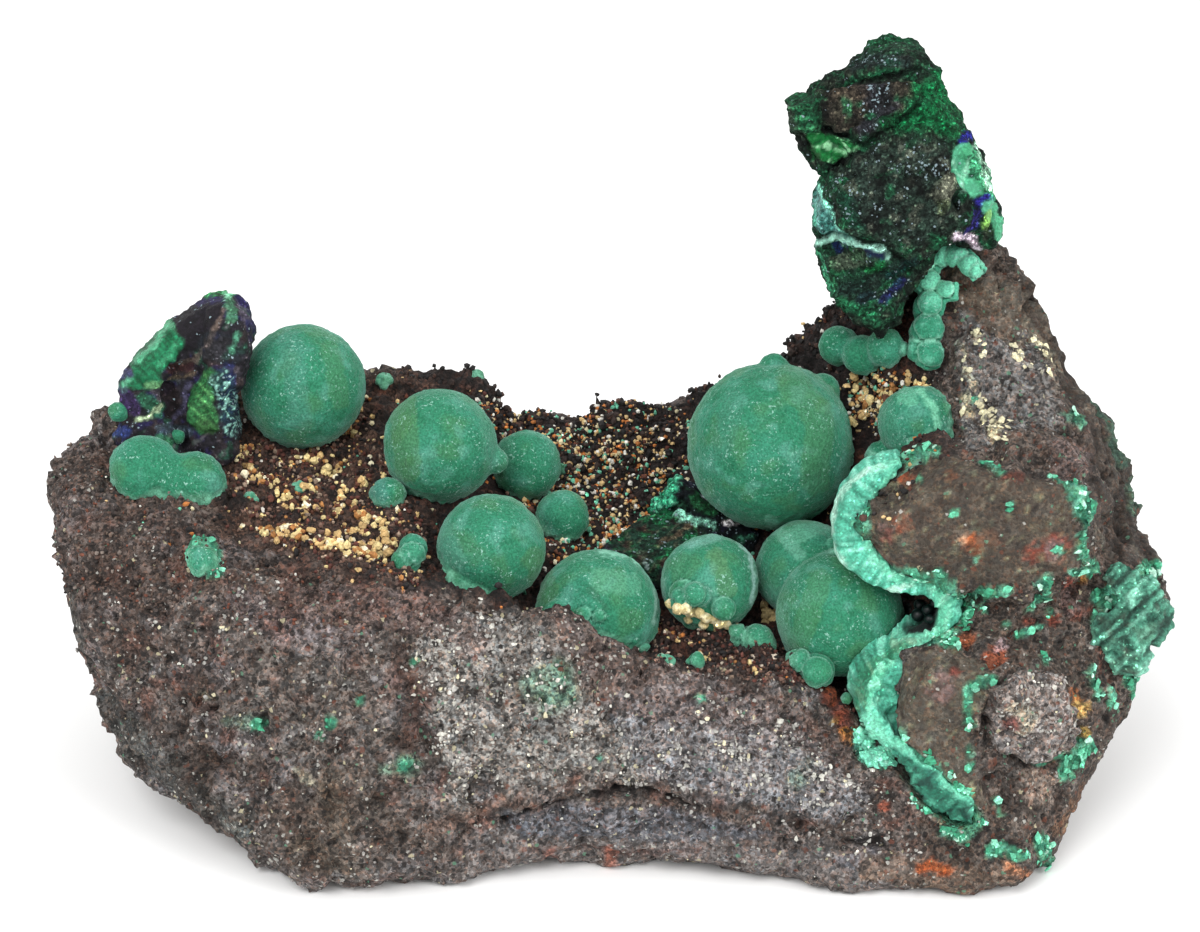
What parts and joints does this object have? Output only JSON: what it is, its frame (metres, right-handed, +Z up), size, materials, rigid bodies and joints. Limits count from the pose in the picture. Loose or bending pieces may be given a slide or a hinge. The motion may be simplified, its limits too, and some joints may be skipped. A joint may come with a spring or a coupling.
{
  "type": "mineral specimen",
  "caption": "Botryoidal malachite: velvety green balls and crusts with dark crystals, in the open hollow of a broken brown gossan rock.",
  "frame": {"origin": "middle of the object's box on the plane the rock's foot stands on", "axes": "+X along the length to the right, towards the tall wall and the spire of crystals; -Y towards the broken front that the hollow faces; +Z up"},
  "size_m": [0.1082, 0.0596, 0.0716],
  "materials": {
    "matrix": "matt, rough and pitted",
    "ball_upper_left": "velvety, matt",
    "ball_left": "velvety, matt",
    "ball_behind": "velvety, matt",
    "ball_low_left": "velvety, matt",
    "ball_front": "velvety, matt",
    "ball_rim": "velvety, matt",
    "ball_large": "velvety, matt",
    "ball_centre": "velvety, matt",
    "balls_right": "velvety, matt",
    "ball_wall": "velvety, matt",
    "balls_left_end": "velvety, matt",
    "ball_small_left": "velvety, matt",
    "balls_small_front": "velvety, matt",
    "ball_left_slope": "velvety, matt",
    "balls_hollow_right": "velvety, matt",
    "balls_rim_middle": "velvety, matt",
    "balls_rim_right": "velvety, matt",
    "chain_of_balls": "matt, fibrous where broken",
    "crust": "matt, fibrous where broken",
    "patch_right": "matt, fibrous where broken",
    "crystal_spire": "sparkling, with silky green faces",
    "crystals_left": "glossy to silky",
    "crystal_middle": "silky"
  },
  "bodies": {
    "root": {"matrix": "matrix", "ball_upper_left": "ball_upper_left", "ball_left": "ball_left", "ball_behind": "ball_behind", "ball_low_left": "ball_low_left", "ball_front": "ball_front", "ball_rim": "ball_rim", "ball_large": "ball_large", "ball_centre": "ball_centre", "balls_right": "balls_right", "ball_wall": "ball_wall", "balls_left_end": "balls_left_end", "ball_small_left": "ball_small_left", "balls_small_front": "balls_small_front", "ball_left_slope": "ball_left_slope", "balls_hollow_right": "balls_hollow_right", "balls_rim_middle": "balls_rim_middle", "balls_rim_right": "balls_rim_right", "chain_of_balls": "chain_of_balls", "crust": "crust", "patch_right": "patch_right", "crystal_spire": "crystal_spire", "crystals_left": "crystals_left", "crystal_middle": "crystal_middle"}
  },
  "joints": []
}
